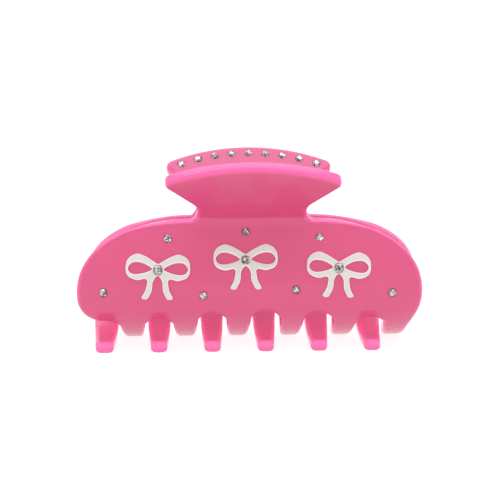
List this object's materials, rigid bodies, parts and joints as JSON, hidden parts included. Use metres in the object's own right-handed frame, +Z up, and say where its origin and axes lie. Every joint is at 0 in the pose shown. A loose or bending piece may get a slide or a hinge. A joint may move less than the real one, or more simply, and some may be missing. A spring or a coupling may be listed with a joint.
{
  "type": "claw hair clip",
  "caption": "Claw hair clip: two bent sheet jaws with interlocking teeth and thumb levers on a sprung hinge pin, trimmed with raised bows and flat-backed crystals.",
  "frame": {"origin": "on the surface that the clip stands on, midway between the two jaws and midway along the clip", "axes": "+Z up from the tooth tips to the thumb levers; +X along the clip and its hinge pin; the front jaw's outside faces -Y"},
  "size_m": [0.1108, 0.0478, 0.0613],
  "materials": {
    "pink_acetate": "tumble-polished cellulose acetate, glossy",
    "white_acetate": "polished white acetate",
    "crystal": "foil-backed cut glass",
    "steel": "bright zinc-plated spring steel and stamped steel"
  },
  "bodies": {
    "front": {"front_jaw": "pink_acetate", "front_hinge_bracket": "steel", "hinge_pin": "steel", "torsion_spring": "steel", "front_face_crystal_1": "crystal", "front_face_crystal_2": "crystal", "front_face_crystal_3": "crystal", "front_face_crystal_4": "crystal", "front_face_crystal_5": "crystal", "front_face_crystal_6": "crystal", "front_face_crystal_7": "crystal", "front_lever_crystal_1": "crystal", "front_lever_crystal_2": "crystal", "front_lever_crystal_3": "crystal", "front_lever_crystal_4": "crystal", "front_lever_crystal_5": "crystal", "front_lever_crystal_6": "crystal", "front_lever_crystal_7": "crystal", "front_lever_crystal_8": "crystal", "front_lever_crystal_9": "crystal", "front_bow_1": "white_acetate", "front_bow_2": "white_acetate", "front_bow_3": "white_acetate", "front_knot_crystal_1": "crystal", "front_knot_crystal_2": "crystal", "front_knot_crystal_3": "crystal"},
    "rear": {"rear_jaw": "pink_acetate", "rear_hinge_bracket": "steel", "rear_face_crystal_1": "crystal", "rear_face_crystal_2": "crystal", "rear_face_crystal_3": "crystal", "rear_face_crystal_4": "crystal", "rear_face_crystal_5": "crystal", "rear_face_crystal_6": "crystal", "rear_face_crystal_7": "crystal", "rear_lever_crystal_1": "crystal", "rear_lever_crystal_2": "crystal", "rear_lever_crystal_3": "crystal", "rear_lever_crystal_4": "crystal", "rear_lever_crystal_5": "crystal", "rear_lever_crystal_6": "crystal", "rear_lever_crystal_7": "crystal", "rear_lever_crystal_8": "crystal", "rear_lever_crystal_9": "crystal", "rear_bow_1": "white_acetate", "rear_bow_2": "white_acetate", "rear_bow_3": "white_acetate", "rear_knot_crystal_1": "crystal", "rear_knot_crystal_2": "crystal", "rear_knot_crystal_3": "crystal"}
  },
  "joints": [
    {"name": "jaw_hinge", "type": "hinge", "parent": "front", "child": "rear", "pos_m": [0, 0, 0.04002], "axis": [1, 0, 0], "range_deg": [0, 70], "stiffness_Nm_per_rad": 0.19, "springref_deg": -28.65, "deforming": ["torsion_spring"]}
  ]
}
